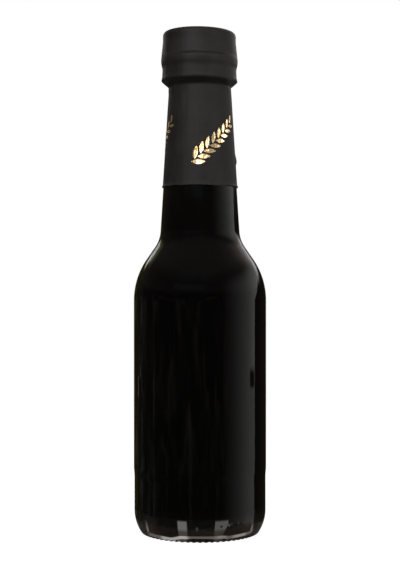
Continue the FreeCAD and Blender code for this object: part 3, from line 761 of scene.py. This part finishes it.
# The tent's cloth is painted with what the glass mirrors: a tall soft light on the right with a clean rear
# edge, white cloth high up behind the bottle, and dim cloth with faint streaks elsewhere.
# A patch is where it starts, where it stops and how far its soft edge reaches, first round, then up.
mirroredPaint = {
    "light": {"start": 36, "width": 70, "bend": 1.35, "most": 0.65, "footMost": 0.44, "foot": (30, 44),
              "top": (520, 230), "rear": 107, "leanFrom": 100, "lean": 0.145, "leanMost": 20, "soft": 1.2},
    "notch": ((-12, -3, 2.5), (24, 32, 6), 0.95),                 # round from the light's rear edge
    "upper": {"least": 0.03, "start": 80, "width": 70, "bend": 2.8, "most": 1.05, "low": (330, 280),
              "lowMore": 0.35, "side": (50, 90), "rear": 153.5, "leanFrom": 255, "lean": 0.1, "soft": 1.5,
              "foot": 85, "footSoft": (-15, 20)},
    # left and right side, foot and top, each from nothing to full, and the light
    "upperLeft": (((-160, -151), (-139, -147), (250, 276), (480, 350), 1.35),
                  ((-160, -148), (-122, -142), (310, 370), (580, 420), 0.3)),
    "strips": (((-120.5, -117.5, 1.0), 0.06), ((-85.6, -83.8, 2.5), 0.05), ((-17.2, -15.6, 2.5), 0.05)),
    "stripBreaks": (0.36, 0.62), "flow": ((0.46, 0.76), 0.058), "fine": ((0.48, 0.8), 0.045),
    "flowPace": (0.075, 0.018, 3), "finePace": (0.42, 0.014, 9),
    "streakTop": (215, 150), "streakSide": (60, 35),
    "specks": (((-124.4, -122.8, 0.6), (29, 37, 2)), ((-133, -131, 0.7), (14, 27, 4))), "speckLight": 0.22,
    # the light of a pane, how much it wavers, and its pace up and round
    "panes": (((-46, 8, 4), (250, 350, 12), 0.034, 0.018, 0.16, 0.12),
              ((-40, 24, 2), (410, 640, 20), 0.013, 0.006, 0, 0.3)),
    "behind": (171, 172.5),
    "dim": 0.028, "dimBehind": ((128, 150), 0.35), "dimHigh": (((170, 235), 0.035), ((380, 680), 0.05)),
    "cloth": (1.0, 0.86, 0.82), "clothFoot": (0.94, 1.0, 0.9), "footHeights": (-50, 30),
    "clothRight": (1.0, 0.78, 0.62), "rightSide": (100, 125),
    "clothLeft": (1.0, 0.85, 0.4), "leftSide": (-180, -130, 8),
    "paneTone": (0.84, 1.0, 0.98), "lightTone": (1.0, 0.985, 0.96),
}


def patch(turn, up, around, heights):
    return turn.within(*around) * up.within(*heights)


def ramp(value, start, width):
    # 0 at start, 1 after width, straight between
    return ((value - start) / width).atLeast(0).atMost(1)


def mirroredCloth(nodes, turn, up, p):
    light, upper = p["light"], p["upper"]
    rear = light["rear"] + ((up - light["leanFrom"]) * light["lean"]).atLeast(0).atMost(light["leanMost"])
    most = light["footMost"] + up.rise(*light["foot"]) * (light["most"] - light["footMost"])
    panel = (ramp(turn, light["start"], light["width"]) ** light["bend"] * light["most"]).atMost(most)
    panel = panel * turn.rise(rear + light["soft"], rear - light["soft"]) * up.rise(*light["top"])
    around, heights, depth = p["notch"]
    panel = panel * (1 - patch(turn - rear, up, around, heights) * depth)

    right = ramp(turn, upper["start"], upper["width"]) ** upper["bend"] * upper["most"]
    right = upper["least"] + right * (1 + up.rise(*upper["low"]) * upper["lowMore"])
    rear = upper["rear"] + (up - upper["leanFrom"]) * upper["lean"]
    foot = turn + upper["foot"]
    right = right * turn.rise(*upper["side"]) * turn.rise(rear + upper["soft"], rear - upper["soft"])
    right = right * up.rise(*(foot + soft for soft in upper["footSoft"]))
    left = sum(turn.rise(*near) * turn.rise(*far) * up.rise(*foot) * up.rise(*top) * share
               for near, far, foot, top, share in p["upperLeft"])

    roundPace, upPace, layer = p["flowPace"]
    flow = nodes.cloud(nodes.vector(turn * roundPace, up * upPace, layer), detail=3, distortion=1.0)
    roundPace, upPace, layer = p["finePace"]
    fine = nodes.cloud(nodes.vector(turn * roundPace, up * upPace, layer))
    streaks = sum(turn.within(*around) * share for around, share in p["strips"])
    streaks = streaks * flow.rise(*p["stripBreaks"])
    for noise, (limits, share) in ((flow, p["flow"]), (fine, p["fine"])):
        streaks = streaks + noise.rise(*limits) * share
    streaks = streaks * up.rise(*p["streakTop"]) * turn.rise(*p["streakSide"])
    streaks = streaks + sum(patch(turn, up, *speck) for speck in p["specks"]) * p["speckLight"]
    panes = sum(patch(turn, up, around, heights) * (share + (up * upPace + turn * roundPace).sine() * waver)
                for around, heights, share, waver, upPace, roundPace in p["panes"])

    behind = abs(turn).rise(*p["behind"])
    limits, share = p["dimBehind"]
    dim = p["dim"] * (1 - abs(turn).rise(*limits) * share)
    dim = dim + sum(up.rise(*limits) * share for limits, share in p["dimHigh"])
    tone = nodes.blend(up.rise(*p["footHeights"]), p["clothFoot"], p["cloth"])
    tone = nodes.blend(turn.rise(*p["rightSide"]), tone, p["clothRight"])
    tone = nodes.blend(turn.within(*p["leftSide"]), tone, p["clothLeft"])
    tone = nodes.blend((panes * 30).atMost(0.8), tone, p["paneTone"])
    tone = nodes.blend((panel * 6).atMost(1), tone, p["lightTone"])
    tone = nodes.blend(behind.atLeast(left).atLeast(right), tone, (1, 1, 1))
    glow = (dim + panel.atLeast(right) + left + streaks + panes).atLeast(behind)
    return nodes.scaled(tone, glow)


# Through the clear glass of the base shows the far side: two windows, a pale line and a brown gloom.
farPaint = {
    "leftWindow": ((168.2, 172.6, 0.9), 0.13), "rightWindow": ((-171.8, -164.5, 0.6), 0.082),
    "rightEdge": (-172.4, -171.8), "rightLean": ((40, 130), 2.6),
    "speck": ((-168.6, -167.8, 0.6), (58, 68, 5), 0.8),
    "windowTop": (19, 35), "windowFade": (98, 72), "windowFoot": 0.4,
    "glimmer": ((178.0, 178.8, 0.4), (64, 82, 6), 0.034),
    # the pale line: how it falls to the sides, where it drops, its height and where it is brighter
    "fall": 0.35, "drops": (((100, 161, 9), 21), ((-162, -142, 5), 7)), "line": (123, 139, 5),
    "lineSides": (134, 142), "lineLight": 0.1,
    "brighter": (((156, 171, 4), 0.25), ((-157, -149, 4), 0.14), ((-169, -165, 2), 0.06)),
    "ends": ((137.4, 139.2, 1.3), (-140.8, -139.2, 1.3)), "endFoot": (60, 128), "endTop": (158, 148),
    "endLight": 0.14,
    "gloom": 0.002, "gloomLow": ((60, 105), 0.006), "gloomGap": ((150, 168, 5), 0.6),
    "gloomSides": ((156, 146), (20, 50), 0.005), "gloomEdge": ((130, 142), 0.35),
    "spot": ((60, 104, 6), (62, 86, 10), 0.3),
    "gloomTones": ((1.0, 0.94, 0.84), (1.0, 0.6, 0.34)), "gloomBrown": (72, 104), "paleTone": (1, 0.98, 0.96),
}


def farCloth(nodes, turn, up, p):
    around, heights, depth = p["speck"]
    speck = patch(turn, up, around, heights) * depth
    limits, lean = p["rightLean"]
    around, share = p["rightWindow"]
    windows = (turn + up.rise(*limits) * lean).within(*around) * turn.rise(*p["rightEdge"]) * share
    windows = windows * (1 - speck)
    around, share = p["leftWindow"]
    windows = (windows + turn.within(*around) * share) * up.rise(*p["windowTop"])
    windows = windows * (p["windowFoot"] + up.rise(*p["windowFade"]) * (1 - p["windowFoot"]))
    around, heights, share = p["glimmer"]
    windows = windows + patch(turn, up, around, heights) * share

    height = up - (180 - abs(turn)) * p["fall"]
    height = height - sum(turn.within(*around) * drop for around, drop in p["drops"])
    paintedPaleLight = p["lineLight"] + sum(turn.within(*around) * share for around, share in p["brighter"])
    paintedPaleLight = paintedPaleLight * height.within(*p["line"]) * abs(turn).rise(*p["lineSides"])
    ends = sum(turn.within(*around) for around in p["ends"])
    paintedPaleLight = paintedPaleLight.atLeast(ends * up.rise(*p["endFoot"]) * up.rise(*p["endTop"]) * p["endLight"])

    (low, share), (around, less) = p["gloomLow"], p["gloomGap"]
    gloom = p["gloom"] + up.rise(*low) * share * (1 - turn.within(*around) * less)
    around, low, share = p["gloomSides"]
    gloom = gloom + abs(turn).rise(*around) * up.rise(*low) * share
    around, least = p["gloomEdge"]
    gloom = gloom * (least + abs(turn).rise(*around) * (1 - least))
    around, heights, share = p["spot"]
    spot = patch(turn, up, around, heights) * share
    murk = nodes.blend(up.rise(*p["gloomBrown"]), *p["gloomTones"])
    clear = (windows * 12).atMost(1).atLeast(paintedPaleLight * 8).atLeast(spot * 4)
    return nodes.scaled(nodes.blend(clear, murk, p["paleTone"]), windows + paintedPaleLight + gloom + spot)


tentCloth, nodes = newMaterial("tentCloth")
x, y, z = nodes.split(nodes.add("ShaderNodeTexCoord").out("Object"))
turn = nodes.add("ShaderNodeMath", {"operation": "ARCTAN2"}, {0: x, 1: y * -1}) * (180 / math.pi)
up = z / mm
cloths = [nodes.add("ShaderNodeEmission", None, {"Color": colour, "Strength": 1})
          for colour in (mirroredCloth(nodes, turn, up, mirroredPaint), farCloth(nodes, turn, up, farPaint))]
through = nodes.add("ShaderNodeLightPath").out("Is Transmission Ray")
nodes.add("ShaderNodeOutputMaterial", None, {
    "Surface": nodes.add("ShaderNodeMixShader", None, {0: through, 1: cloths[0], 2: cloths[1]})})

tent = bpy.data.objects.new("tent", tentWall(studio["tentRadius"], studio["tentFoot"], studio["tentTop"]))
bpy.context.scene.collection.objects.link(tent)
tent.data.materials.append(tentCloth)
tent.visible_camera = False
tent.visible_diffuse = False
tent.visible_shadow = False

world = bpy.data.worlds.new("studio")
bpy.context.scene.world = world
world.use_nodes = True
nodes = Nodes(world.node_tree)
ray = nodes.add("ShaderNodeLightPath")
z = nodes.split(nodes.add("ShaderNodeTexCoord").out("Generated"))[2]
seen, soft = ray.out("Is Camera Ray"), ray.out("Is Diffuse Ray")
below = studio["ambientBelow"]
sky = studio["ambient"] * (below + (1 - below) * z.rise(*studio["horizon"]))
strength = seen + soft * sky + (1 - soft) * (1 - seen) * studio["skyMirrored"]
tint = nodes.blend(seen + soft, studio["skyTint"], (1, 1, 1))
nodes.add("ShaderNodeOutputWorld", None,
          {"Surface": nodes.add("ShaderNodeBackground", None, {"Color": tint, "Strength": strength})})

# The lamps light the matt pieces and the floor, and the glass mirrors the tent alone.
lit = {}
for name, pieces in (("matt", (sleeve, cap, foil, floor)), ("film", (sleeve,)), ("foil", (foil,))):
    lit[name] = bpy.data.collections.new(name + "Pieces")
    for piece in pieces:
        lit[name].objects.link(piece)
for name, turn, height, share, size, kind in studio["lamps"]:
    data = bpy.data.lights.new(name, "AREA")
    data.shape = "DISK"
    data.size = size * mm
    reach = studio["lampDistance"][kind] * mm
    data.energy = share * math.pi * reach ** 2
    lamp = bpy.data.objects.new(name, data)
    around, up = math.radians(turn), math.radians(height)
    away = Vector((math.sin(around) * math.cos(up), -math.cos(around) * math.cos(up), math.sin(up)))
    lamp.location = away * reach + Vector((0, 0, studio["lampAim"] * mm))
    lamp.rotation_euler = away.to_track_quat("Z", "Y").to_euler()
    lamp.visible_camera = False
    lamp.visible_diffuse = kind == "matt"
    lamp.light_linking.receiver_collection = lit[kind]
    bpy.context.scene.collection.objects.link(lamp)
print("floor, tent and lamps set")
